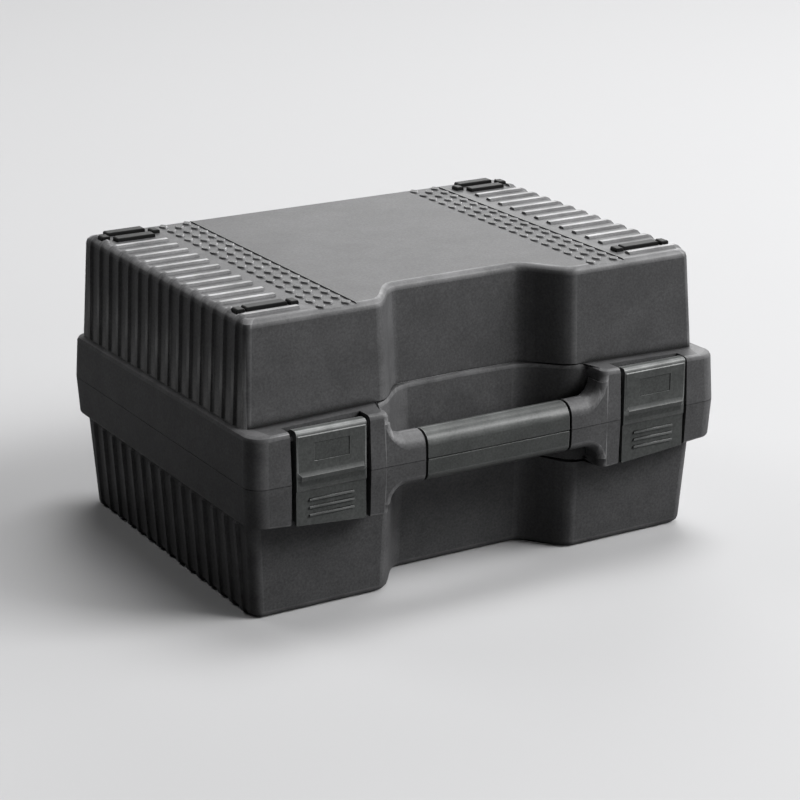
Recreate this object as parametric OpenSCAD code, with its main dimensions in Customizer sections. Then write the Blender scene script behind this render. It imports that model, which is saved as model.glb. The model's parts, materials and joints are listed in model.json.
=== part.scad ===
// Hard tool case: two moulded shells with a stepped rim band, two lever latches,
// a split carrying handle and two pin hinges. Millimetres, +Z up, front towards -Y.
// The origin is the middle of the underside.

/* [Case] */
// Width of the rim band, the widest part of the case
case_w = 360; // [330:1:420]
// Depth of the rim band from front to back
case_d = 279; // [250:1:320]
// Height of the joint line above the floor
base_h = 96; // [88:1:130]
// Height of the lid above the joint line
lid_h = 101.5; // [90:1:140]
// Thickness of the moulded walls
wall = 2.6; // [2.2:0.1:3.4]
// Gap left along the joint line when the case is shut
joint_gap = 0.4; // [0.3:0.1:0.8]

/* [Rim band] */
// Height of the lid's half of the band, measured at the back
band_up = 29.5; // [26:0.5:34]
// Height of the base's half of the band, measured at the back
band_down = 27; // [24:0.5:32]
// Extra height of the band's top at the front corners
band_rise = 4; // [0:0.5:6]
// Further growth of the band's top towards the handle
arch_up = 5.2; // [0:0.2:7]
// Growth of the band's underside towards the handle
arch_down = 12.5; // [0:0.5:14]
// Radius of the band's upright corners
band_r = 12; // [10:0.5:20]
// Amount that each half of the band narrows away from the joint line
band_taper = 1.3; // [0.5:0.1:2]
// Amount that the front of the band bows forward in the middle
front_bow = 3.5; // [0:0.5:6]

/* [Walls] */
// Step from the band in to the side walls
side_step = 7.5; // [6:0.5:10]
// Step from the band in to the lid's front wall
lid_front_step = 21.4; // [19:0.2:26]
// Step from the band in to the base's front wall
base_front_step = 17.5; // [16:0.5:22]
// Step from the band in to the back wall
back_step = 5; // [3.5:0.5:8]
// Lean of the lid's walls, per millimetre of height
lid_draft = 0.05; // [0.03:0.005:0.08]
// Lean of the base's walls, per millimetre of height
base_draft = 0.056; // [0.03:0.004:0.07]
// Radius of the lid walls' upright corners
lid_r = 4.5; // [4:0.5:12]
// Radius of the base walls' upright corners
base_r = 7.5; // [6:0.5:14]
// Radius of the lid's top edge
lid_edge_r = 5; // [3:0.5:7]
// Radius of the base's bottom edge
base_edge_r = 5; // [4:0.5:8]

/* [Hand recess] */
// Depth of the recess in the front walls
recess_depth = 29; // [20:1:34]
// Half width of the flat at the back of the recess
recess_in = 44; // [38:1:50]
// Half width of the recess where it meets the front walls
recess_out = 76; // [72:1:84]
// Ledge of the band that stands out behind the handle
recess_lip = 5; // [4:0.5:7]

/* [Handle] */
// Half of the gap between the two handle arms
arm_gap = 80; // [76:1:84]
// Height of the handle bar above the joint line
bar_up = 18; // [15:0.5:20]
// Depth of the handle bar below the joint line
bar_down = 16; // [13:0.5:18]
// Thickness of the handle bar from front to back
bar_d = 20; // [17:0.5:24]
// Length of the two grip covers
grip_len = 109; // [95:1:120]
// Groove between a grip cover and the bar's ends
grip_groove = 1.8; // [1:0.1:2.5]
// Thickness of the grip covers
grip_wall = 2.4; // [1.8:0.1:3]
// Radius of the fillets where the bar meets the arms
arm_fillet = 10; // [6:0.5:12]

/* [Latches] */
// Width of a latch lever
latch_w = 50; // [40:1:54]
// Distance of each latch's middle from the side of the band
latch_in = 56; // [54:0.5:58]
// Gap on each side of a latch lever
latch_gap = 3; // [1:0.1:3.4]
// Thickness of a latch lever's skin
latch_t = 3; // [2.4:0.1:3.4]
// Distance of the latch pin behind the lever's face
latch_pin_depth = 6.2; // [6:0.1:6.6]
// Radius of a latch lever's barrel about its pin
latch_barrel_r = 6; // [5.5:0.1:6.2]
// Radius of a latch pin
latch_pin_r = 1.5; // [1.2:0.1:2]

/* [Hinges] */
// Distance of each hinge's middle from the side of the band
hinge_in = 85; // [70:1:110]
// Distance of the hinge axis behind the band
hinge_out = 6; // [5.8:0.1:7]
// Radius of a hinge knuckle
knuckle_r = 5; // [4.5:0.1:5.2]
// Width of a hinge knuckle
knuckle_w = 12; // [9:0.5:16]
// Radius of a hinge pin
hinge_pin_r = 2; // [1.5:0.1:2.5]

/* [Ribs and feet] */
// Distance from one side rib to the next
rib_pitch = 15.8; // [14:0.2:18]
// Height of a rib above the wall
rib_h = 1.6; // [1:0.1:2.4]
// Distance of the lid ribs' inner ends from the side of the band
rib_in = 54; // [48:1:60]
// Length of a stacking foot's bar
foot_len = 29; // [22:1:32]
// Height of the stacking feet above the lid
foot_h = 2.6; // [1.6:0.2:4]
// Distance of the stacking feet's middles from the side of the band
foot_in = 36.5; // [34:0.5:40]

/* [Hidden] */

shell_color = [0.13, 0.13, 0.135];
latch_color = [0.2, 0.205, 0.205];
grip_color = [0.17, 0.175, 0.175];
foot_color = [0.04, 0.04, 0.04];
steel_color = [0.6, 0.6, 0.62];

half_w = case_w / 2;
half_d = case_d / 2;
latch_x = half_w - latch_in;
hinge_x = half_w - hinge_in;
rib_reach = half_w - rib_in;
foot_x = half_w - foot_in;
lid_top = base_h + lid_h;
lid_line = base_h + joint_gap / 2;
base_line = base_h - joint_gap / 2;
ledge_up = base_h + band_up;
ledge_down = base_h - band_down;

// Radii of the band's outer edges
band_edge_r = 3.2;
band_foot_r = 1.6;
// The band starts to grow here towards the handle, and its underside stops growing beside it
arch_start = 160;
arch_stop = 90;
// The growth towards the handle fades in over this distance, from this far behind the front
arch_fade_from = 74.5;
arch_fade = 53;
// Steps of the recess curve and of a round corner, and points between the two
curve_steps = 8;
corner_steps = 6;
side_points = 6;
side_point_step = 2;
// Radius of the band's corners beside the handle, and the band's narrower recess
nose_r = 5;
recess_narrow = 4;

// The upstand on the base that the lid closes round
lip_h = 3;
lip_t = 1.8;
lip_gap = 0.4;

// Clearances of turning and of seated pieces
pin_run = 0.05;
pin_seat = 0.02;
seat_gap = 0.15;
overlap = 0.4;

// Front and back lines of a shell section, before the insets
front_y = -half_d;
recess_y = front_y + lid_front_step + recess_depth;

function mix(a, b, t) = a + (b - a) * t;
function clamp01(t) = min(1, max(0, t));
function bow(x) = front_bow * (1 - pow(x / half_w, 2));

// Growth of the band at a point of its outline: rising to the front, then to the handle
function frontness(y) = clamp01((half_d - y) / case_d);
function near_front(y) = clamp01((arch_fade_from - half_d - y) / arch_fade);
function arch(x, y) = near_front(y) * max(0, 1 - abs(x) / arch_start);
function lift(x, y) = band_rise * frontness(y) + arch_up * arch(x, y);
function drop(x, y) = arch_down * arch(max(abs(x), arch_stop), y);

// Handle bar: edge radii, wall, lean of its front, and inset of the part under the grip
bar_top_r = 9;
bar_foot_r = 6;
bar_wall = 2.4;
bar_steps = 4;
bar_proud = 0.03;
bar_lean = band_taper / (band_up + lift(arm_gap, front_y) - band_edge_r);
core = grip_wall + seat_gap;

// Latch bays and levers
bay_half = latch_w / 2 + latch_gap;
bay_wall = 2.4;
bay_depth = latch_pin_depth + latch_barrel_r + 1.6;
bay_skin = 0.9;
straight_in = arm_gap + nose_r;
straight_out = half_w - band_r;
function band_face_y(x) = front_y
    - mix(bow(straight_in), bow(straight_out), (x - straight_in) / (straight_out - straight_in));
latch_face_y = band_face_y(latch_x);
latch_top = ledge_up + lift(latch_x, front_y);
latch_foot = ledge_down - drop(latch_x, front_y);
latch_pin_z = latch_top - latch_barrel_r - 0.3;
latch_edge_r = 2.6;
cheek_t = 2;
// The lever's three finger ribs
finger_rib_w = 32;
finger_rib_h = 1.4;
finger_rib_drop = 6.8;
finger_rib_out = 1;
finger_rib_pitch = 5.1;
// The lever's cross bead, measured from the pin, and how far its lower part is set back
bead_high = base_h + 9 - latch_pin_z;
bead_crest = base_h + 5 - latch_pin_z;
bead_low = base_h - 5.6 - latch_pin_z;
bead_out = 2.2;
bead_end = 3;
press_in = 0.9;
// Raised pad between the lever's top and the bead, and the bare panel sunk in it
pad_drop = 3;
pad_h = 0.6;
pad_margin = 0.6;
panel_w = 25;
panel_h = 12;
panel_low = base_h + 14 - latch_pin_z;
panel_depth = 0.45;
// The lever's lower edge follows the band's underside
latch_slope = atan(arch_down / arch_start);
// Strike on the base and hook on the lever
strike_depth = 6.8;
strike_z = base_h - 12;
strike_h = 4;
hook_drop = 0.4;
hook_h = 4;
hook_clear = 0.1;

// Hinges and heels
hinge_y = half_d + hinge_out;
knuckle_step = knuckle_w + 0.4;
heel_w = 22;
heel_h = 12;
heel_gap = 9;

// Side ribs: widths at the wall and at the crest, and their rows
rib_base = 8;
rib_crest = 3.6;
rib_mid = 8;
rib_end = 12;
rib_limit_front = front_y + lid_front_step + rib_end;
rib_limit_back = half_d - back_step - rib_end;
rib_rows = [
    for (k = [-20:20])
        let(y = rib_mid + k * rib_pitch)
            if (y > rib_limit_front && y < rib_limit_back) y
];
edge_flat = half_w - side_step - lid_draft * (lid_top - lid_edge_r - ledge_up) - lid_edge_r;

// Sunk strips beside the lid's middle panel
strip_in = half_w - 91;
strip_out = half_w - 63.5;
strip_depth = 0.8;

// Sunk fields in the underside
field_gap = 26;
field_w = 128;
field_d = 84;
field_front = 62;
field_h = 1;

// Stacking feet
foot_w = 7.5;
foot_end = 6.2;
foot_reach = 18.8;
foot_sink = 0.8;
foot_back_in = 27.7;
foot_front_in = 47.2;
foot_bar_gap = 17;
foot_back_y = half_d - foot_back_in;
foot_front_y = front_y + foot_front_in;
foot_bars_back = [foot_back_y - foot_bar_gap / 2, foot_back_y + foot_bar_gap / 2];
foot_bars_front = [foot_front_y + 1.5];

// A section is [side, face_y, step_y, recess_y, x_in, x_out, radius, back_y, notched, z, grow]:
// side and back_y are its limits, face_y its front face, step_y the front wall's line where
// the recess curve ends, and grow is how much of the band's growth its height takes.
function band_section(inset, z, grow, r_in = 0) = [
    half_w - inset,
    front_y + inset,
    front_y + lid_front_step - recess_lip + inset,
    recess_y - recess_lip + inset,
    recess_in - recess_narrow + inset * 0.6,
    arm_gap + inset,
    band_r - r_in,
    half_d - inset,
    1, z, grow
];
function wall_section(inset, front_step, back, z, grow, r) = [
    half_w - side_step - inset,
    front_y + front_step + inset,
    front_y + front_step + inset,
    front_y + front_step + recess_depth + inset,
    recess_in + inset * 0.3,
    recess_out + inset * 0.3,
    r,
    half_d - back - inset,
    0, z, grow
];

// The right half of a section's front line, from the middle to the side
function front_half(s) = let(
    side = s[0], face = s[1], step = s[2], rec = s[3], xi = s[4], xo = s[5], r = s[6], k = s[8], nr = nose_r
) concat(
    [[0, rec - k * 0.5]],
    [for (i = [0:curve_steps]) let(t = i / curve_steps)
        [mix(xi, xo, t), mix(rec, step, (1 - cos(180 * t)) / 2)]],
    k == 1
        ? concat([[xo, step - 3]], [for (a = [0:22.5:90])
            [xo + nr * (1 - cos(a)), face - bow(xo + nr) + nr * (1 - sin(a))]])
        : [for (i = [1:side_points]) [xo + side_point_step * i, face]],
    [for (i = [0:corner_steps]) let(a = 90 * i / corner_steps)
        [side - r + r * sin(a), face + r - r * cos(a) - k * bow(side - r) * (1 - i / corner_steps)]]
);
// The matching points on the back line
function back_half(s) = let(side = s[0], r = s[6], back = s[7], f = front_half(s), n = len(f)) [
    for (i = [0:n - 1])
        i < n - 1 - corner_steps
            ? [f[i][0], back]
            : let(a = 90 * (i - (n - 1 - corner_steps)) / corner_steps)
                [side - r + r * sin(a), back - r + r * cos(a)]
];
function mirrored_line(half) = concat(
    [for (i = [len(half) - 1:-1:1]) [-half[i][0], half[i][1]]],
    half
);
half_points = 1 + (curve_steps + 1) + side_points + (corner_steps + 1);
line_points = 2 * half_points - 1;

// Ring of 3D points round a section: the front line left to right, the back line right to left
function ring(s, up) = let(f = mirrored_line(front_half(s)), b = mirrored_line(back_half(s)), n = len(f)) [
    for (i = [0:2 * n - 1]) let(p = i < n ? f[i] : b[2 * n - 1 - i])
        [p[0], p[1], s[9] + s[10] * (up ? lift(p[0], p[1]) : -drop(p[0], p[1]))]
];

// A shell from outer sections, capped after the last, and inner sections, capped before the first
module shell(outer, inner, up) {
    sections = concat(outer, inner);
    m = len(outer);
    rows = len(sections);
    n = 2 * line_points;
    points = [for (s = sections) each ring(s, up)];
    side_faces = [
        for (k = [0:rows - 1]) if (k != m - 1)
            for (i = [0:n - 1]) let(k2 = (k + 1) % rows, j = (i + 1) % n)
                each [[k * n + i, k2 * n + i, k2 * n + j], [k * n + i, k2 * n + j, k * n + j]]
    ];
    function cap(k, turn) = [
        for (i = [0:line_points - 2]) let(
            a = k * n + i, b = a + 1, c = k * n + n - 2 - i, d = c + 1
        ) turn ? [a, b, c, d] : [d, c, b, a]
    ];
    faces = concat(side_faces, cap(m - 1, false), cap(m, true));
    polyhedron(points, up ? faces : [for (f = faces) [for (i = [len(f) - 1:-1:0]) f[i]]], convexity = 10);
}

function fillet_insets(r, steps) = [
    for (i = [0:steps])
        let(a = 90 * i / steps)
            [r * (1 - cos(a)), r * sin(a)]
];

lid_wall_h = lid_top - lid_edge_r - ledge_up;
lid_lean = lid_draft * lid_wall_h;
base_wall_h = ledge_down - base_edge_r;
base_lean = base_draft * base_wall_h;

module lid_skin() {
    outer = concat(
        [band_section(0, lid_line, 0)],
        [for (f = fillet_insets(band_edge_r, 2))
            band_section(band_taper + f[0], ledge_up - band_edge_r + f[1], 1)],
        [wall_section(0, lid_front_step, back_step, ledge_up, 1, lid_r)],
        [for (f = fillet_insets(lid_edge_r, 3))
            wall_section(lid_lean + f[0], lid_front_step, back_step, lid_top - lid_edge_r + f[1], 0, lid_r)]
    );
    inner_r = lid_r - wall;
    inner = [
        wall_section(lid_lean + lid_edge_r, lid_front_step, back_step, lid_top - wall, 0, inner_r),
        wall_section(lid_lean + wall, lid_front_step, back_step, lid_top - lid_edge_r, 0, inner_r),
        wall_section(wall, lid_front_step, back_step, ledge_up - wall, 1, inner_r),
        band_section(band_taper + wall, ledge_up - wall, 1, wall),
        band_section(wall, lid_line, 0, wall)
    ];
    shell(outer, inner, true);
}

// The base's inner side ends in an upstand that the lid closes round
module base_skin() {
    outer = concat(
        [band_section(0, base_line, 0)],
        [for (f = fillet_insets(band_foot_r, 2))
            band_section(band_taper + f[0], ledge_down + band_foot_r - f[1], 1)],
        [wall_section(0, base_front_step, back_step, ledge_down, 1, base_r)],
        [for (f = fillet_insets(base_edge_r, 3))
            wall_section(base_lean + f[0], base_front_step, back_step, base_edge_r - f[1], 0, base_r)]
    );
    inner_r = base_r - wall;
    lip_in = wall + lip_gap + lip_t;
    inner = [
        wall_section(base_lean + base_edge_r, base_front_step, back_step, wall, 0, inner_r),
        wall_section(base_lean + wall, base_front_step, back_step, base_edge_r, 0, inner_r),
        wall_section(wall, base_front_step, back_step, ledge_down + wall, 1, inner_r),
        band_section(band_taper + wall, ledge_down + wall, 1, wall),
        band_section(wall, base_line - 3 * lip_h, 0, wall),
        band_section(lip_in, base_line - lip_h, 0, wall),
        band_section(lip_in, base_h + lip_h, 0, wall),
        band_section(wall + lip_gap + 0.2, base_h + lip_h, 0, wall),
        band_section(wall + lip_gap, base_line, 0, wall)
    ];
    shell(outer, inner, false);
}

// Solid swept through rings of equal length, closed at both ends
module sweep(rings) {
    n = len(rings[0]);
    last = len(rings) - 1;
    polyhedron(
        [for (r = rings) each r],
        concat(
            [for (k = [0:last - 1]) for (i = [0:n - 1]) let(j = (i + 1) % n)
                [k * n + i, k * n + j, (k + 1) * n + j, (k + 1) * n + i]],
            [[for (i = [n - 1:-1:0]) i]],
            [[for (i = [0:n - 1]) last * n + i]]
        ),
        convexity = 4
    );
}

// A rib follows the skin through stations [x, z, angle of the skin's normal, height, width factor]
module rib(y, stations) {
    sink = 0.8;
    sweep([for (s = stations) let(
        nx = cos(s[2]), nz = sin(s[2]), b = rib_base * s[4] / 2, c = rib_crest * s[4] / 2
    ) [
        [s[0] - sink * nx, y - b, s[1] - sink * nz],
        [s[0] - sink * nx, y + b, s[1] - sink * nz],
        [s[0] + s[3] * nx, y + c, s[1] + s[3] * nz],
        [s[0] + s[3] * nx, y - c, s[1] + s[3] * nz]
    ]]);
}

module lid_rib(y, reach) {
    edge_x = half_w - side_step - lid_lean - lid_edge_r;
    edge_z = lid_top - lid_edge_r;
    rib(y, concat(
        [[half_w - side_step, ledge_up + lift(half_w, y) - 1, 0, rib_h, 1]],
        [for (a = [0:30:90]) [edge_x + lid_edge_r * cos(a), edge_z + lid_edge_r * sin(a), a, rib_h, 1]],
        [[reach, lid_top, 90, rib_h, 1]]
    ));
}

// The base's ribs start as a tongue below the band and run out in the bottom edge
module base_rib(y) {
    edge_x = half_w - side_step - base_lean - base_edge_r;
    top_x = half_w - side_step;
    rib(y, [
        [edge_x, 0, -90, -0.4, 1],
        [edge_x + base_edge_r * cos(60), base_edge_r * (1 - sin(60)), -60, rib_h * 0.4, 1],
        [edge_x + base_edge_r * cos(30), base_edge_r * 0.5, -30, rib_h, 1],
        [edge_x + base_edge_r, base_edge_r, 0, rib_h, 1],
        [top_x, ledge_down - 6, 0, rib_h, 1],
        [top_x, ledge_down - 2.5, 0, -0.3, 0.4]
    ]);
}

function on_foot(y) = len([
    for (f = concat(foot_bars_back, foot_bars_front)) if (abs(y - f) < (foot_w + rib_base) / 2) f
]) > 0;

module both_sides() {
    children();
    mirror([1, 0, 0]) children();
}

// Walls that close a latch bay off from the inside of its shell, from behind the band's face
module bay_walls(up) {
    x0 = latch_x - bay_half - bay_wall;
    x1 = latch_x + bay_half + bay_wall;
    back = latch_face_y + bay_depth + bay_wall;
    joint = up ? lid_line : base_line;
    function skin_y(x) = band_face_y(x) + band_taper + bay_skin;
    function ledge_z(x) = up
        ? ledge_up + lift(x, front_y) - wall / 2
        : ledge_down - drop(x, front_y) + wall / 2;
    intersection() {
        translate([0, back, 0])
            rotate([90, 0, 0])
            linear_extrude(2 * bay_depth)
            polygon([[x0, joint], [x1, joint], [x1, ledge_z(x1)], [x0, ledge_z(x0)]]);
        linear_extrude(2 * ledge_up)
            polygon([
                [x0 - 1, back + 1], [x0 - 1, skin_y(x0 - 1)],
                [x1 + 1, skin_y(x1 + 1)], [x1 + 1, back + 1]
            ]);
    }
}

// Room for a latch lever, open to the front, between two heights
module bay_room(low, high) {
    translate([latch_x - bay_half, latch_face_y - bay_depth, low])
        cube([2 * bay_half, 2 * bay_depth, high - low]);
}

// One ring round the handle bar's upper or lower half at a station [x, inset]. Near the arms
// the bar's edge turns up along them in a fillet, and its radius becomes that of the arms' edge.
function bar_ring(station, up, foot) = let(
    x = station[0], inset = station[1],
    way = up ? 1 : -1,
    height = up ? bar_up : bar_down,
    turn = min(max(0, abs(x) - arm_gap + arm_fillet), 0.985 * (arm_fillet + nose_r)),
    edge = mix(up ? bar_top_r : bar_foot_r, nose_r, clamp01(turn / arm_fillet)),
    r = edge - inset,
    last = asin(1 - max(0, turn - arm_fillet) / edge),
    front = front_y - bow(x) + inset,
    back = front_y - bow(x) + bar_d - inset,
    start = joint_gap / 2 - foot + inset / 10,
    steps = [for (i = [0:bar_steps]) last * i / bar_steps],
    rise = [for (a = steps) let(h = arm_fillet + inset + r - r * sin(a))
        height + arm_fillet - sqrt(max(0, h * h - turn * turn))]
) [
    for (p = concat(
        [[front + bar_lean * start, start]],
        [for (i = [0:bar_steps]) [front + bar_lean * rise[i] + r - r * cos(steps[i]), rise[i]]],
        [for (i = [bar_steps:-1:0]) [back - r + r * cos(steps[i]), rise[i]]],
        [[back, start]]
    )) [x, p[0], base_h + way * p[1]]
];

// One half of the handle bar above or below the joint line
module half_bar(stations, up, foot = 0) {
    rings = [for (s = stations) bar_ring(s, up, foot)];
    sweep(up ? rings : [for (r = rings) [for (i = [len(r) - 1:-1:0]) r[i]]]);
}

// The shells' own bar: full at its ends, thinner where the grip cover goes on, hollow inside.
// Its ends turn up into the arms, a hair proud of them, and then dive into them.
module shell_bar(up) {
    seat = grip_len / 2 + grip_groove;
    stations = mirrored_line(concat(
        [[0, core], [grip_len / 4, core], [seat, core], [seat, 0]],
        [for (a = [0:22.5:90]) [arm_gap - arm_fillet * (1 - sin(a)), -bar_proud]],
        [for (a = [22.5:22.5:90]) [arm_gap + nose_r * (1 - cos(a)), -bar_proud]],
        [[straight_in + 2, overlap]]
    ));
    hollow_w = bar_d - 2 * (core + bar_wall);
    bays = 6;
    bay = 2 * (arm_gap - arm_fillet) / bays;
    height = (up ? bar_up : bar_down) - core - bar_wall;
    difference() {
        half_bar(stations, up);
        for (i = [0:bays - 1])
            translate([
                -arm_gap + arm_fillet + i * bay + bar_wall / 2,
                front_y - bow(0) + core + bar_wall,
                up ? base_h - 1 : base_h - height
            ])
                cube([bay - bar_wall, hollow_w, height + 1]);
        // The base's upstand passes behind the ends of the lid's bar
        if (up)
            translate([0, 0, base_h])
                linear_extrude(lip_h + lip_gap)
                polygon(concat(
                    mirrored_line(front_half(band_section(wall * 0.9, 0, 0))),
                    [[half_w, 0], [-half_w, 0]]
                ));
    }
}

// A grip cover is a half sleeve round the bar's thinner middle
module grip(up) {
    half = grip_len / 2;
    difference() {
        half_bar(mirrored_line([[0, 0], [half / 2, 0], [half, 0]]), up);
        half_bar(
            mirrored_line([[0, grip_wall], [half / 2, grip_wall], [half + 1, grip_wall]]),
            up, joint_gap
        );
    }
}

// Knuckles stand behind the band on webs; the base has one more than the lid
module knuckles(up) {
    count = up ? 2 : 3;
    web = knuckle_r * 0.8;
    for (i = [0:count - 1])
        translate([hinge_x + (i - (count - 1) / 2) * 2 * knuckle_step, hinge_y, base_h]) {
            rotate([0, 90, 0]) cylinder(h = knuckle_w, r = knuckle_r, center = true, $fn = 48);
            translate([-knuckle_w / 2, -hinge_out - wall / 2, up ? joint_gap / 2 : -web])
                cube([knuckle_w, hinge_out + wall / 2, web - joint_gap / 2]);
        }
}

module hinge_bore(r) {
    translate([hinge_x, hinge_y, base_h])
        rotate([0, 90, 0])
        cylinder(h = 7 * knuckle_step, r = r, center = true, $fn = 48);
}

// Heels level with the knuckles let the case stand on its back
module heel(up) {
    depth = hinge_out + knuckle_r;
    low = heel_gap;
    high = heel_gap + heel_h;
    bevel = 2.5;
    translate([half_w - band_r - heel_w, half_d, base_h])
        mirror([0, 0, up ? 0 : 1])
        rotate([90, 0, 90])
        linear_extrude(heel_w)
        polygon([
            [-wall / 2 - band_taper, low], [depth - bevel, low], [depth, low + bevel],
            [depth, high - bevel], [depth - bevel, high], [-wall / 2 - band_taper, high]
        ]);
}

module base_shell() color(shell_color) {
    difference() {
        union() {
            base_skin();
            both_sides() {
                for (y = rib_rows) base_rib(y);
            }
            both_sides() bay_walls(false);
            shell_bar(false);
            both_sides() knuckles(false);
            both_sides() heel(false);
        }
        both_sides() bay_room(-1, lid_line + lip_h + 1);
        // The upstand stops short of the lid's bay walls
        both_sides()
            translate([latch_x - bay_half - bay_wall - lip_gap, latch_face_y, base_line])
            cube([2 * (bay_half + bay_wall + lip_gap), bay_depth, 2 * lip_h]);
        both_sides() hinge_bore(hinge_pin_r + pin_seat);
        both_sides() {
            for (y = [front_y + field_front, field_gap / 2])
                translate([field_gap / 2, y, -1]) cube([field_w, field_d, 1 + field_h]);
        }
    }
    // Strikes that the latch hooks catch under
    both_sides()
        translate([latch_x - bay_half - 0.5, latch_face_y + strike_depth, strike_z])
        cube([2 * bay_half + 1, bay_depth - strike_depth + 1, strike_h]);
}

module lid_shell() color(shell_color) {
    difference() {
        union() {
            lid_skin();
            both_sides() {
                for (y = rib_rows) lid_rib(y, on_foot(y) ? edge_flat - 1 : rib_reach);
            }
            both_sides() bay_walls(true);
            shell_bar(true);
            both_sides() knuckles(true);
            both_sides() heel(true);
        }
        both_sides() bay_room(base_h - 1, latch_top + 2 * wall);
        both_sides() latch_bore(2 * bay_half + 4 * bay_wall, latch_pin_r + pin_seat);
        both_sides() hinge_bore(hinge_pin_r + pin_run);
        // Sunk strips on both sides of the smooth middle panel
        both_sides()
            translate([strip_in, -case_d, lid_top - strip_depth])
            cube([strip_out - strip_in, 2 * case_d, 2 * strip_depth]);
        both_sides() {
            foot_shape(foot_bars_back, foot_back_y, seat_gap);
            foot_shape(foot_bars_front, foot_front_y, seat_gap);
        }
    }
}

module grip_lower() color(grip_color) grip(false);

module grip_upper() color(grip_color) grip(true);

// The latch pin's line, as a cylinder of a given length and radius
module latch_bore(length, r) {
    translate([latch_x, latch_face_y + latch_pin_depth, latch_pin_z])
        rotate([0, 90, 0])
        cylinder(h = length, r = r, center = true, $fn = 48);
}

// Side outline of a lever, as [depth behind the face, height]
module latch_outline() {
    top = latch_top - latch_pin_z;
    foot = latch_foot - latch_pin_z - latch_w * tan(latch_slope) / 2;
    r = latch_edge_r;
    translate([-latch_pin_depth, 0])
        polygon(concat(
            [for (a = [180:-15:90]) [r + r * cos(a), top - r + r * sin(a)]],
            [[latch_pin_depth, top], [latch_pin_depth, 0], [latch_t, -latch_barrel_r]],
            [[latch_t + press_in, bead_low], [latch_t + press_in, foot], [press_in, foot]],
            [[press_in, bead_low], [0, bead_low + 1]]
        ));
}

// Cross bead: a short slope above and a long one below, run out at both ends
module latch_bead() {
    half = latch_w / 2;
    inside = latch_t / 2;
    sweep([for (s = [[-half, -0.2], [bead_end - half, bead_out], [half - bead_end, bead_out], [half, -0.2]]) [
        for (p = [
            [press_in + 0.2, bead_low + 0.3], [mix(-s[1], press_in, 0.3), bead_crest - 3],
            [-s[1], bead_crest], [0.2, bead_high], [inside, bead_high], [inside, bead_low + 0.3]
        ]) [s[0], p[0] - latch_pin_depth, p[1]]
    ]]);
}

// Raised pad with bevelled edges above the bead, less the panel sunk in it
module latch_pad() {
    top = latch_top - latch_pin_z - pad_drop;
    function frame(inset, depth) = [
        for (c = [[-1, bead_crest], [-1, top - inset], [1, top - inset], [1, bead_crest]])
            [c[0] * (latch_w / 2 - pad_margin - inset), depth - latch_pin_depth, c[1]]
    ];
    difference() {
        sweep([frame(0, latch_t / 2), frame(0, 0), frame(pad_h, -pad_h)]);
        translate([-panel_w / 2, -latch_pin_depth - 2 * pad_h, panel_low])
            cube([panel_w, pad_h + panel_depth, panel_h]);
    }
}

module latch() color(latch_color)
    difference() {
        translate([latch_x, latch_face_y + latch_pin_depth, latch_pin_z]) {
            rotate([90, 0, 90])
                translate([0, 0, -latch_w / 2])
                linear_extrude(latch_w)
                latch_outline();
            rotate([0, 90, 0]) cylinder(h = latch_w, r = latch_barrel_r, center = true, $fn = 48);
            latch_bead();
            latch_pad();
            // Cheeks that stiffen the lever
            for (x = [-latch_w / 2, latch_w / 2 - cheek_t])
                translate([x, -latch_pin_depth + latch_t - overlap, latch_foot - latch_pin_z + 2 * cheek_t])
                cube([cheek_t, strike_depth - latch_t, latch_pin_z - latch_foot - 3 * cheek_t]);
            // Hook that closes under the strike
            translate([-latch_w / 4, -latch_pin_depth + latch_t, strike_z - hook_drop - hook_h - latch_pin_z])
                cube([latch_w / 2, strike_depth - latch_t - hook_clear, hook_h]);
            // Finger ribs on the lower part
            for (i = [0:2])
                translate([
                    -finger_rib_w / 2,
                    -latch_pin_depth + press_in - finger_rib_out,
                    bead_low - finger_rib_drop - i * finger_rib_pitch
                ])
                    cube([finger_rib_w, finger_rib_out + overlap, finger_rib_h]);
        }
        latch_bore(2 * latch_w, latch_pin_r + pin_run);
        // The lower edge slants with the band's underside
        translate([latch_x, latch_face_y - latch_t, latch_foot])
            rotate([0, -latch_slope, 0])
            translate([-latch_w, 0, -latch_w])
            cube([2 * latch_w, bay_depth, latch_w]);
    }

module latch_right() latch();

module latch_left() mirror([1, 0, 0]) latch();

module latch_pin() color(steel_color) latch_bore(2 * (bay_half + bay_wall), latch_pin_r);

module latch_pin_right() latch_pin();

module latch_pin_left() mirror([1, 0, 0]) latch_pin();

module hinge_pin() color(steel_color)
    translate([hinge_x, hinge_y, base_h])
    rotate([0, 90, 0])
    cylinder(h = 4 * knuckle_step + knuckle_w, r = hinge_pin_r, center = true, $fn = 48);

module hinge_pin_right() hinge_pin();

module hinge_pin_left() mirror([1, 0, 0]) hinge_pin();

// One block of a foot, seated in its pocket and bevelled at its ends
module foot_block(x, y, length, width, grow) {
    high = grow > 0 ? foot_sink + 2 * foot_h : foot_sink + foot_h;
    bevel = 0.8;
    half = length / 2 + grow;
    translate([x, y + width / 2 + grow, lid_top - foot_sink])
        rotate([90, 0, 0])
        linear_extrude(width + 2 * grow)
        polygon([[-half, 0], [half, 0], [half, high - bevel], [half - bevel, high], [bevel - half, high],
                 [-half, high - bevel]]);
}

// A stacking foot: its bars and a block beyond each end; grow widens it into its pocket
module foot_shape(bars, middle, grow = 0) {
    for (y = bars) foot_block(foot_x, y, foot_len, foot_w, grow);
    for (way = [-1, 1]) foot_block(foot_x + way * foot_reach, middle, foot_end, foot_w, grow);
}

module foot_back_right() color(foot_color) foot_shape(foot_bars_back, foot_back_y);

module foot_back_left() mirror([1, 0, 0]) foot_back_right();

module foot_front_right() color(foot_color) foot_shape(foot_bars_front, foot_front_y);

module foot_front_left() mirror([1, 0, 0]) foot_front_right();

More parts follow.
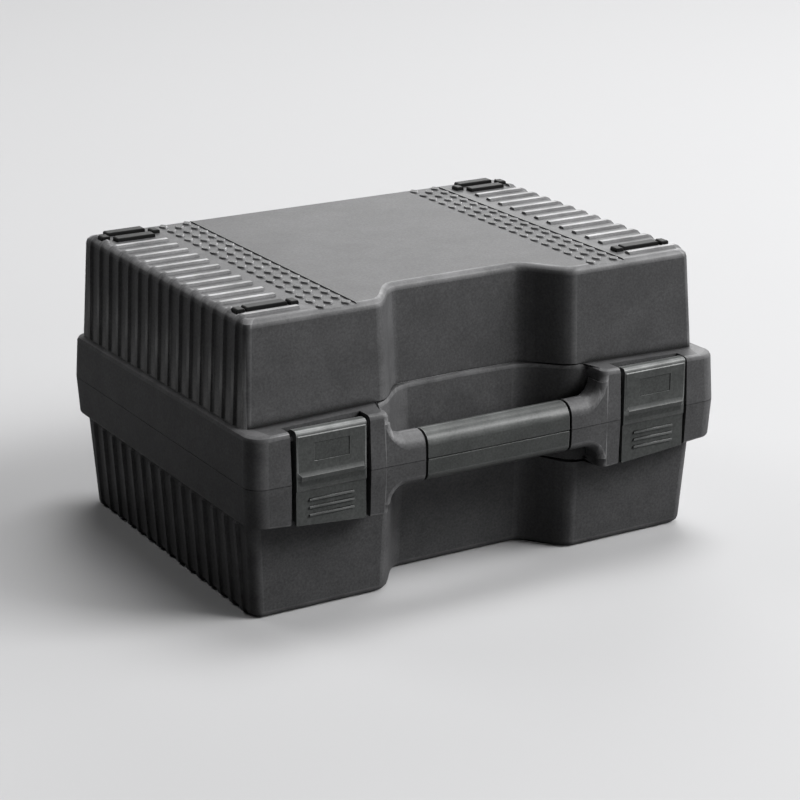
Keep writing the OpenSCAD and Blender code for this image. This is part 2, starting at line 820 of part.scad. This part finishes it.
base_shell();
lid_shell();
grip_lower();
grip_upper();
latch_left();
latch_right();
latch_pin_left();
latch_pin_right();
hinge_pin_left();
hinge_pin_right();
foot_back_left();
foot_back_right();
foot_front_left();
foot_front_right();
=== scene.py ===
# %% [markdown]
# # A hard tool case
# This notebook dresses a moulded tool case for a studio picture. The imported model
# brings every solid at its real size, so each step below only adds what a mould and
# a studio add: softened edges, grained plastic, small lozenges, a floor and light.

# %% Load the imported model
import json
import math

import bmesh
import bpy
from mathutils import Matrix, Vector


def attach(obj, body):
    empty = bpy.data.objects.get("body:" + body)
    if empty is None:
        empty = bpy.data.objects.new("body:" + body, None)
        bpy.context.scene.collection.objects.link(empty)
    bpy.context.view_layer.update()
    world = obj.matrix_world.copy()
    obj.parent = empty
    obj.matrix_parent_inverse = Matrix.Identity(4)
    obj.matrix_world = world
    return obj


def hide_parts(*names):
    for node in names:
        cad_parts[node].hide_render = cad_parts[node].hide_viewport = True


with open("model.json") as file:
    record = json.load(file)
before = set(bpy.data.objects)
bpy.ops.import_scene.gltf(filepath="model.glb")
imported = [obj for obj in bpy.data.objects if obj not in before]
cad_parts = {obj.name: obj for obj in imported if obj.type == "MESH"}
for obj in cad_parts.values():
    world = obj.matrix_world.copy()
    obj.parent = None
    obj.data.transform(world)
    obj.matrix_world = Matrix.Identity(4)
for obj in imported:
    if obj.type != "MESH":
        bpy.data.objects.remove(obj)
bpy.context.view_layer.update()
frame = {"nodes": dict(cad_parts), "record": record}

MM = 0.001

# %% [markdown]
# ## Colours and nodes
# Colours are written as sRGB hex values, as a colour picker shows them. Blender's
# shaders work in linear light, so one function turns a hex value into linear RGBA.
# A second function adds a node to a tree, with its settings and its links. Each node,
# socket and link could have a line of its own, but a material is far easier to read
# when a node is one call.


# %% From a hex value to linear light
def linear(code):
    """Gives linear RGBA for an sRGB hex value, by the curve in the sRGB standard."""
    channels = [int(code[i:i + 2], 16) / 255 for i in (1, 3, 5)]
    return [c / 12.92 if c <= 0.04045 else ((c + 0.055) / 1.055) ** 2.4 for c in channels] + [1]


print("a middle grey of #808080 is", round(linear("#808080")[0], 3), "in linear light")


# %% Add a node, and start a material
def add_node(tree, kind, settings=None, **inputs):
    """Adds a node. An input goes by its label, with _ for a space, or by _ and its number."""
    node = tree.nodes.new(kind)
    for name, value in (settings or {}).items():
        setattr(node, name, value)
    for name, value in inputs.items():
        number = name[1:]
        socket = node.inputs[int(number) if number.isdigit() else name.replace("_", " ")]
        if isinstance(value, bpy.types.NodeSocket):
            tree.links.new(value, socket)
        else:
            socket.default_value = value
    return node


def new_material(name):
    material = bpy.data.materials.new(name)
    material.use_nodes = True
    material.node_tree.nodes.clear()
    return material, material.node_tree


# A Mix node has its sockets for numbers, vectors and colours in one row. For colours the
# share is input 0, the two colours are inputs 6 and 7, and what comes out is output 2.
TINT = {"data_type": "RGBA"}
DARKEN = {"data_type": "RGBA", "blend_type": "MULTIPLY"}
TIMES = {"operation": "MULTIPLY"}
LARGER = {"operation": "MAXIMUM"}

# %% [markdown]
# ## Moulded polypropylene
# The shells, latches and grip covers are polypropylene from a spark-eroded mould.
# The mould leaves a fine, even grain that scatters highlights, so the plastic looks
# charcoal under a broad light and nearly black in shade. Handling rubs the grain
# flat along raised edges, which turns them a little smoother; they are painted paler,
# partly as that wear and partly as a painted highlight. The creases are painted
# darker, as painted shade. The grain could be a picture wrapped round the case, but
# noise in Object coordinates needs no unwrapping and runs evenly over every side.
# One function makes the plastic of all the moulded pieces, which differ in colour,
# gloss and depth of grain.

# %% Polypropylene
GRAIN = 1.5 * MM
FLOW = 24 * MM
# How far the painted shade in the creases looks for nearby surfaces
CREASE_SHADE_REACH = 14 * MM
RUBBED_SMOOTHER = 0.16


def polypropylene(name, colour, rubbed_and_highlit, roughness, grain_depth):
    material, tree = new_material(name)
    place = add_node(tree, "ShaderNodeTexCoord").outputs["Object"]
    # Grain is about 0.2 mm on the mould, and is drawn coarser so that it shows from afar
    grain = add_node(tree, "ShaderNodeTexNoise", Vector=place, Scale=1 / GRAIN, Detail=4.0,
                     Roughness=0.65).outputs["Fac"]
    speckle = add_node(tree, "ShaderNodeMapRange", Value=grain, From_Min=0.3, From_Max=0.7,
                       To_Min=0.72, To_Max=1.28)
    # Slow changes of tone show where the melt flowed through the mould
    flow = add_node(tree, "ShaderNodeTexNoise", Vector=place, Scale=1 / FLOW, Detail=4.0,
                    Roughness=0.55).outputs["Fac"]
    tone = add_node(tree, "ShaderNodeMapRange", Value=flow, From_Min=0.3, From_Max=0.7,
                    To_Min=0.87, To_Max=1.13)
    shade = add_node(tree, "ShaderNodeMath", TIMES, _0=speckle.outputs[0], _1=tone.outputs[0])
    fresh = add_node(tree, "ShaderNodeMix", DARKEN, _0=1.0, _6=linear(colour),
                     _7=shade.outputs[0])

    # Raised edges are painted paler, partly as wear from hands and partly as a painted
    # highlight, more in some places than in others
    wear_and_highlight = add_node(tree, "ShaderNodeAttribute", {"attribute_name": "edge"}).outputs["Fac"]
    patchy = add_node(tree, "ShaderNodeMapRange", Value=flow, From_Min=0.35, From_Max=0.65,
                      To_Min=0.35, To_Max=1.0)
    rub_and_highlight = add_node(tree, "ShaderNodeMath", TIMES, _0=wear_and_highlight, _1=patchy.outputs[0]).outputs[0]
    worn_and_highlit = add_node(tree, "ShaderNodeMix", TINT, _0=rub_and_highlight, _6=fresh.outputs[2],
                    _7=linear(rubbed_and_highlit))
    rough = add_node(tree, "ShaderNodeMapRange", Value=rub_and_highlight, To_Min=roughness,
                     To_Max=roughness - RUBBED_SMOOTHER)

    # Painted shade: the creases are painted darker the less open air they see
    open_air = add_node(tree, "ShaderNodeAmbientOcclusion", {"samples": 8, "only_local": True},
                        Distance=CREASE_SHADE_REACH).outputs["AO"]
    unshaded_share = add_node(tree, "ShaderNodeMapRange", Value=open_air, From_Min=0.57, From_Max=0.73,
                     To_Min=0.0, To_Max=1.0)
    # The colour is multiplied by the painted shade of the creases
    crease_shaded = add_node(tree, "ShaderNodeMix", DARKEN, _0=1.0, _6=worn_and_highlit.outputs[2],
                      _7=unshaded_share.outputs[0])

    bump = add_node(tree, "ShaderNodeBump", Height=grain, Strength=1.0, Distance=grain_depth)
    shader = add_node(tree, "ShaderNodeBsdfPrincipled", Base_Color=crease_shaded.outputs[2],
                      Roughness=rough.outputs[0], IOR=1.49, Specular_IOR_Level=0.3,
                      Normal=bump.outputs[0])
    add_node(tree, "ShaderNodeOutputMaterial", Surface=shader.outputs[0])
    return material


# %% Three plastics
# Each plastic's second colour is the pale of its rubbed edges, partly wear and partly a painted
# highlight
shell_plastic = polypropylene("grained black polypropylene", "#505051", "#B0B0B1",
                              roughness=0.5, grain_depth=0.07 * MM)
latch_plastic = polypropylene("fine grained charcoal polypropylene", "#4C4E4D", "#A6A8A7",
                              roughness=0.4, grain_depth=0.04 * MM)
grip_plastic = polypropylene("hand worn charcoal polypropylene", "#484A49", "#A2A4A3",
                             roughness=0.34, grain_depth=0.04 * MM)
print("made", shell_plastic.name, "and", latch_plastic.name, "and", grip_plastic.name)

# %% [markdown]
# ## Rubber and steel
# The stacking feet are moulded black rubber: darker than the plastic, with next to no
# sheen, and faintly mottled. The latch and hinge pins are drawn steel wire, whose fine
# scratches run along the wire. Noise that is stretched along x, as the pins lie, draws
# them, where a picture of scratches would need each small pin unwrapped.

# %% Rubber
MOTTLE = 1.5 * MM


def rubber():
    material, tree = new_material("matt black rubber")
    place = add_node(tree, "ShaderNodeTexCoord").outputs["Object"]
    mottle = add_node(tree, "ShaderNodeTexNoise", Vector=place, Scale=1 / MOTTLE,
                      Detail=2.0).outputs["Fac"]
    tint = add_node(tree, "ShaderNodeMix", TINT, _0=mottle, _6=linear("#0C0C0C"),
                    _7=linear("#161616"))
    bump = add_node(tree, "ShaderNodeBump", Height=mottle, Distance=0.04 * MM)
    shader = add_node(tree, "ShaderNodeBsdfPrincipled", Base_Color=tint.outputs[2],
                      Roughness=0.5, IOR=1.5, Specular_IOR_Level=0.2, Normal=bump.outputs[0])
    add_node(tree, "ShaderNodeOutputMaterial", Surface=shader.outputs[0])
    return material


foot_rubber = rubber()
print("made", foot_rubber.name)

# %% Drawn steel
SCRATCH = 0.25 * MM
ALONG_THE_WIRE = (0.02, 1, 1)


def drawn_steel():
    material, tree = new_material("drawn steel wire")
    place = add_node(tree, "ShaderNodeTexCoord").outputs["Object"]
    along = add_node(tree, "ShaderNodeMapping", Vector=place, Scale=ALONG_THE_WIRE)
    # Real scratches are some hundredths of a millimetre wide, and are drawn coarser
    lines = add_node(tree, "ShaderNodeTexNoise", Vector=along.outputs[0], Scale=1 / SCRATCH,
                     Detail=2.0).outputs["Fac"]
    rough = add_node(tree, "ShaderNodeMapRange", Value=lines, To_Min=0.22, To_Max=0.42)
    bump = add_node(tree, "ShaderNodeBump", Height=lines, Distance=0.01 * MM)
    shader = add_node(tree, "ShaderNodeBsdfPrincipled", Base_Color=linear("#B9B9BC"),
                      Metallic=1.0, Roughness=rough.outputs[0], Normal=bump.outputs[0])
    add_node(tree, "ShaderNodeOutputMaterial", Surface=shader.outputs[0])
    return material


pin_steel = drawn_steel()
print("made", pin_steel.name)

# %% [markdown]
# ## Soft edges
# A mould can't make a knife edge. Each moulded node is copied, its loose triangles
# are merged into one skin, and its sharp outside edges are rounded with a bevel of a
# few tenths of a millimetre. A rounded edge catches the light as a thin bright line,
# which is what makes a small picture of a case look like a moulded thing. A Bevel
# modifier could do it too, but it would also fill the inside corners. Here only the
# edges that point outwards are picked.

# %% Copy a node as one skin
WELD = 0.002 * MM
SAME_PLANE = math.radians(0.6)


def merged_copy(node_name):
    mesh = bmesh.new()
    mesh.from_mesh(frame["nodes"][node_name].data)
    bmesh.ops.remove_doubles(mesh, verts=mesh.verts, dist=WELD)
    bmesh.ops.dissolve_limit(mesh, angle_limit=SAME_PLANE, verts=mesh.verts, edges=mesh.edges)
    return mesh


# %% Round the outside edges
SHARP = math.radians(33)


def round_off(mesh, edges, radius, segments=2, clamp_overlap=False):
    bmesh.ops.bevel(mesh, geom=edges, offset=radius, offset_type="OFFSET", affect="EDGES",
                    segments=segments, profile=0.5, material=-1, clamp_overlap=clamp_overlap)


def round_outside(mesh, radius):
    sharp = [e for e in mesh.edges if e.is_manifold and e.calc_face_angle_signed() > SHARP]
    round_off(mesh, sharp, radius, clamp_overlap=True)
    return len(sharp)


# %% [markdown]
# ## Rubbed edges and painted highlights
# A case that is carried and stacked is rubbed where it stands proud: on its tight
# edges and on the crests of the lid's ribs, which the next case slides over. These are
# painted paler, partly as that wear and partly as a painted highlight, which is
# strongest where the edges face up into the light and fullest on the ribs' crests.
# The edges that face each other across the joint get neither.
# A material can find the edges by itself, from the Geometry node's Pointiness, but
# that depends on how dense the mesh is. Here each face stores how tightly it bends,
# as a number that the plastic reads.

# %% Measure where the lid's panel and the joint lie
# The lid's middle panel is smooth at least this far to each side
MIDDLE_PANEL = 80 * MM
# The hinge pins lie level with the joint between the shells
joints = frame["record"]["behaviour"]["joints"]
joint_level = next(joint["pos_m"][2] for joint in joints if joint["name"] == "lid_hinge")
lid_skin = frame["nodes"]["lid_shell"].data
lid_top = max(vert.co.z for vert in lid_skin.vertices if abs(vert.co.x) < MIDDLE_PANEL)
print("the lid's panel lies at", round(lid_top / MM, 1), "mm")
print("the joint lies at", round(joint_level / MM, 1), "mm")

# %% Mark the rubbed edges and painted highlights
# Edges this tight are painted fully pale, as wear and as a painted highlight
RUBBED_AND_HIGHLIT_RADIUS = 2.2 * MM
NARROWEST_FACE = 0.1 * MM
SIDEWAYS_SHARE = 0.5
# Of the plastic, only the ribs' crests lie more than this above the lid's panel
CRESTS_ABOVE = 1.2 * MM
# Faces this near to the joint's level count as its own
JOINT_REACH = 1.2 * MM


def mark_wear_and_highlights(mesh):
    """Stores how much each face is painted paler, as wear and as a painted highlight, most at an
    upward bend of the set radius or less.
    """
    layer = mesh.faces.layers.float.new("edge")
    for face in mesh.faces:
        width = face.calc_area() / max(e.calc_length() for e in face.edges)
        bends = sorted(e.calc_face_angle_signed() for e in face.edges if e.is_manifold)
        turn = max(0, sum(bends[-2:]) / 2)
        tightness = min(1.0, RUBBED_AND_HIGHLIT_RADIUS * turn / max(width, NARROWEST_FACE))
        # Painted highlight: a face that looks up, where the light falls, is painted paler than
        # one that looks sideways or down
        upward = SIDEWAYS_SHARE + (1 - SIDEWAYS_SHARE) * max(0, face.normal.z)
        face[layer] = upward * tightness
        level = face.calc_center_median().z
        if level > lid_top + CRESTS_ABOVE:
            # The ribs' crests are painted fully pale, as wear from the next case sliding on them
            # and as a painted highlight
            face[layer] = 1.0
        elif abs(level - joint_level) < JOINT_REACH:
            # The edges that face each other across the joint get no wear and no painted
            # highlight
            face[layer] = 0.0


# %% Finish a piece and attach it to its body
SHADED_SMOOTH = math.radians(40)


def finish_piece(name, mesh, body, slot, material, *nodes):
    data = bpy.data.meshes.new(name)
    mesh.to_mesh(data)
    mesh.free()
    data.shade_smooth()
    data.set_sharp_from_angle(angle=SHADED_SMOOTH)
    piece = bpy.data.objects.new(name, data)
    bpy.context.scene.collection.objects.link(piece)
    data.materials.append(material)
    weighted = piece.modifiers.new("even shading", "WEIGHTED_NORMAL")
    weighted.keep_sharp = True
    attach(piece, body)
    if nodes:
        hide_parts(*nodes)
    return piece


# %% The moulded pieces and the pins
finishes = {"latch": latch_plastic, "grip": grip_plastic, "foot": foot_rubber,
            "shell": shell_plastic}
radii = {"latch": 0.4 * MM, "grip": 0.5 * MM, "foot": 0.5 * MM, "shell": 0.7 * MM}
body_nodes = frame["record"]["behaviour"]["bodies"]
bodies = {node: body for body, nodes in body_nodes.items() for node in nodes}
slots = {part["node"]: part["material_slot"] for part in frame["record"]["subparts"]}

for node_name in sorted(frame["nodes"]):
    if "pin" in node_name:
        pin = frame["nodes"][node_name].data
        pin.materials.clear()
        pin.materials.append(pin_steel)
        continue
    kind = next(k for k in finishes if k in node_name)
    mesh = merged_copy(node_name)
    count = round_outside(mesh, radii[kind])
    # Each face stores how much it is painted paler, as wear and as a painted highlight
    mark_wear_and_highlights(mesh)
    piece = finish_piece("moulded_" + node_name, mesh, bodies[node_name], slots[node_name],
                         finishes[kind], node_name)
    faces = len(piece.data.polygons)
    print(piece.name, "with", count, "rounded edges and", faces, "faces")

# %% [markdown]
# ## Lozenges in the lid's strips
# Two sunk strips run along the lid beside its middle panel. Each is filled with three
# columns of small raised lozenges, staggered like bricks, that keep a second case from
# sliding. They could be drawn as bump in the plastic, but raised ones catch the light
# on their rims, also where they are seen from low down. The strips are found on the
# packed lid, so the lozenges follow its size.

# %% Find the sunk strips
STRIP_DEPTH = 0.8 * MM
STRIP_LENGTH = 100 * MM
LEVEL_WITHIN = 0.1 * MM
FACING_UP = 0.99


def strip_floor(side):
    """The strip's x, y and z ranges. Foot pockets lie at the same level, but aren't as long."""
    spots = []
    for face in lid_skin.polygons:
        corners = [lid_skin.vertices[i].co for i in face.vertices]
        length = max(c.y for c in corners) - min(c.y for c in corners)
        sunk = abs(face.center.z - lid_top + STRIP_DEPTH) < LEVEL_WITHIN
        upward = face.normal.z > FACING_UP
        if sunk and upward and length > STRIP_LENGTH and face.center.x * side > 0:
            spots += corners
    return [(min(axis), max(axis)) for axis in zip(*spots)]


SIDES = {"left": -1, "right": 1}
for name, side in SIDES.items():
    ranges = [[round(v / MM, 1) for v in axis] for axis in strip_floor(side)]
    print("the", name, "strip spans", ranges, "mm")

# %% Staggered lozenges
HALF_WIDTH = 3.9 * MM
HALF_LENGTH = 5.6 * MM
LOZENGE_PITCH = 13.5 * MM
LOZENGE_RISE = 0.5 * MM
LOZENGE_ROOT = 0.4 * MM
LOZENGE_TAPER = 0.88
LOZENGE_CORNER = 1.8 * MM
LOZENGE_RIM = 0.35 * MM
COLUMNS = 3
SAME_LEVEL = 0.01 * MM


def lozenges(side):
    """Each is a cone of four sides with rounded corners, and its root lies inside the lid."""
    (left, right), (front, back), (floor, _) = strip_floor(side)
    mesh = bmesh.new()
    height = LOZENGE_ROOT + STRIP_DEPTH + LOZENGE_RISE
    crest = floor - LOZENGE_ROOT + height
    pitch = (right - left) / COLUMNS
    rows = int((back - front) / LOZENGE_PITCH) + 1
    for column in range(COLUMNS):
        x = left + (column + 0.5) * pitch
        for row in range(rows):
            y = back - HALF_LENGTH - (row + 0.5 * (column % 2)) * LOZENGE_PITCH
            if y - HALF_LENGTH < front:
                continue
            stretch = Matrix.Diagonal((HALF_WIDTH, HALF_LENGTH, 1, 1))
            place = Matrix.Translation((x, y, crest - height / 2)) @ stretch
            bmesh.ops.create_cone(mesh, segments=4, radius1=1, radius2=LOZENGE_TAPER,
                                  depth=height, cap_ends=True, matrix=place)
    upright = [e for e in mesh.edges if abs(e.verts[0].co.z - e.verts[1].co.z) > height / 2]
    round_off(mesh, upright, LOZENGE_CORNER, segments=3)
    rim = [e for e in mesh.edges if all(abs(v.co.z - crest) < SAME_LEVEL for v in e.verts)]
    round_off(mesh, rim, LOZENGE_RIM)
    return mesh


for name, side in SIDES.items():
    mesh = lozenges(side)
    # The lozenges' rims and crests are painted paler too, as wear and as a painted highlight
    mark_wear_and_highlights(mesh)
    piece = finish_piece("strip_lozenges_" + name, mesh, "lid", "shell", shell_plastic)
    print(piece.name, "with", len(piece.data.polygons), "faces")

# %% [markdown]
# ## The studio
# A pale floor shows a dark case best. It reaches past the picture on all sides, so it
# is its own backdrop. Paper as pale as that would also light the case from below and
# grey its dark sides, and a real studio hangs black cloth out of the picture to stop
# it. Here the Light Path node does the same: what is looked at is pale, a gloss shows
# a share of that, and all other light meets a dark floor and a dim room.

# %% Tell who is looking
GLOSS_SHARE = 0.3


def how_pale(tree):
    """Gives 1 to a ray that looks at the studio, and a share to one that meets it in a gloss."""
    ray = add_node(tree, "ShaderNodeLightPath").outputs
    straight = add_node(tree, "ShaderNodeMath", LARGER, _0=ray["Is Camera Ray"],
                        _1=ray["Is Transmission Ray"])
    gloss = add_node(tree, "ShaderNodeMath", TIMES, _0=ray["Is Glossy Ray"], _1=GLOSS_SHARE)
    either = add_node(tree, "ShaderNodeMath", LARGER, _0=straight.outputs[0],
                      _1=gloss.outputs[0])
    return either.outputs[0]


# %% Floor
FLOOR_REACH = 9


def pale_floor():
    material, tree = new_material("pale studio floor")
    # Looked at, the paper is pale, but it throws little light up the case
    tone = add_node(tree, "ShaderNodeMix", TINT, _0=how_pale(tree), _6=linear("#484849"),
                    _7=linear("#CECECF"))
    shader = add_node(tree, "ShaderNodeBsdfDiffuse", Color=tone.outputs[2])
    add_node(tree, "ShaderNodeOutputMaterial", Surface=shader.outputs[0])
    mesh = bmesh.new()
    bmesh.ops.create_grid(mesh, x_segments=1, y_segments=1, size=FLOOR_REACH)
    data = bpy.data.meshes.new("studio_floor")
    mesh.to_mesh(data)
    mesh.free()
    floor = bpy.data.objects.new("studio_floor", data)
    bpy.context.scene.collection.objects.link(floor)
    data.materials.append(material)
    return floor


print(pale_floor().name, "reaches", FLOOR_REACH, "m to each side")

# %% Room
FILL_STRENGTH = 0.002


def dim_room():
    """A room that looks pale behind the floor, but adds next to no light of its own."""
    world = bpy.data.worlds.new("studio")
    world.use_nodes = True
    tree = world.node_tree
    tree.nodes.clear()
    fill = add_node(tree, "ShaderNodeBackground", Color=linear("#E9E9E9"),
                    Strength=FILL_STRENGTH)
    backdrop = add_node(tree, "ShaderNodeBackground", Color=linear("#E4E4E4"), Strength=1.0)
    mixed = add_node(tree, "ShaderNodeMixShader", _0=how_pale(tree), _1=fill.outputs[0],
                     _2=backdrop.outputs[0])
    add_node(tree, "ShaderNodeOutputWorld", Surface=mixed.outputs[0])
    return world


bpy.context.scene.world = dim_room()
print("made the room, which fills the shadows with a strength of", FILL_STRENGTH)

# %% [markdown]
# ## The lamps
# A broad lamp gives soft shadows, as a studio's soft box does. The strongest
# stands at the front right and shapes the front. Three above and behind the case
# light its top and throw its shadow forwards, and the two at the right throw one to
# the left. A weak one low in front reaches under the rim band. The left end gets
# little light, so it stays nearly black. Point lamps could stand at the same places,
# but the shadows would have hard edges.

# %% Lights
CASE = Vector((0, 0, 0.1))


def soft_box(name, place, size, watts):
    lamp = bpy.data.lights.new(name, "AREA")
    lamp.shape = "RECTANGLE"
    lamp.size, lamp.size_y = size
    lamp.energy = watts
    box = bpy.data.objects.new(name, lamp)
    box.location = place
    box.rotation_euler = (CASE - Vector(place)).to_track_quat("-Z", "Y").to_euler()
    bpy.context.scene.collection.objects.link(box)


soft_box("back high", place=(1.0, 0.75, 4.1), size=(1.8, 1.8), watts=92)
soft_box("back right", place=(3.2, 4.4, 2.5), size=(3.0, 2.1), watts=90)
soft_box("back left", place=(-2.4, 3.6, 3.6), size=(2.2, 2.2), watts=42)
soft_box("right", place=(4.6, -0.7, 2.1), size=(3.0, 3.0), watts=75)
soft_box("front right", place=(3.2, -2.7, 3.3), size=(2.4, 2.4), watts=235)
soft_box("front low", place=(1.6, -4.2, 1.3), size=(1.6, 1.0), watts=20)
print("the lamps give", sum(lamp.energy for lamp in bpy.data.lights), "W together")

# %% [markdown]
# ## The camera
# The case is seen from its front left, a little above the lid. A short lens from
# nearby could fill the picture as well, but it would spread the near corner. A long
# lens from further off keeps the case's edges nearly parallel.

# %% Camera
CAMERA_PLACE = Vector((-0.7953, -1.3613, 0.6169))
CAMERA_AIM = Vector((0.0086, 0, 0.0837))
camera_data = bpy.data.cameras.new("camera")
camera_data.sensor_width = 36
camera_data.lens = 107.1
camera = bpy.data.objects.new("camera", camera_data)
camera.location = CAMERA_PLACE
camera.rotation_euler = (CAMERA_AIM - CAMERA_PLACE).to_track_quat("-Z", "Y").to_euler()
bpy.context.scene.collection.objects.link(camera)
bpy.context.scene.camera = camera
# Standard shows a colour as it is written, where a film-like view would shift it
bpy.context.scene.view_settings.view_transform = "Standard"
print("the camera stands", round((CAMERA_AIM - CAMERA_PLACE).length, 2), "m from the case")
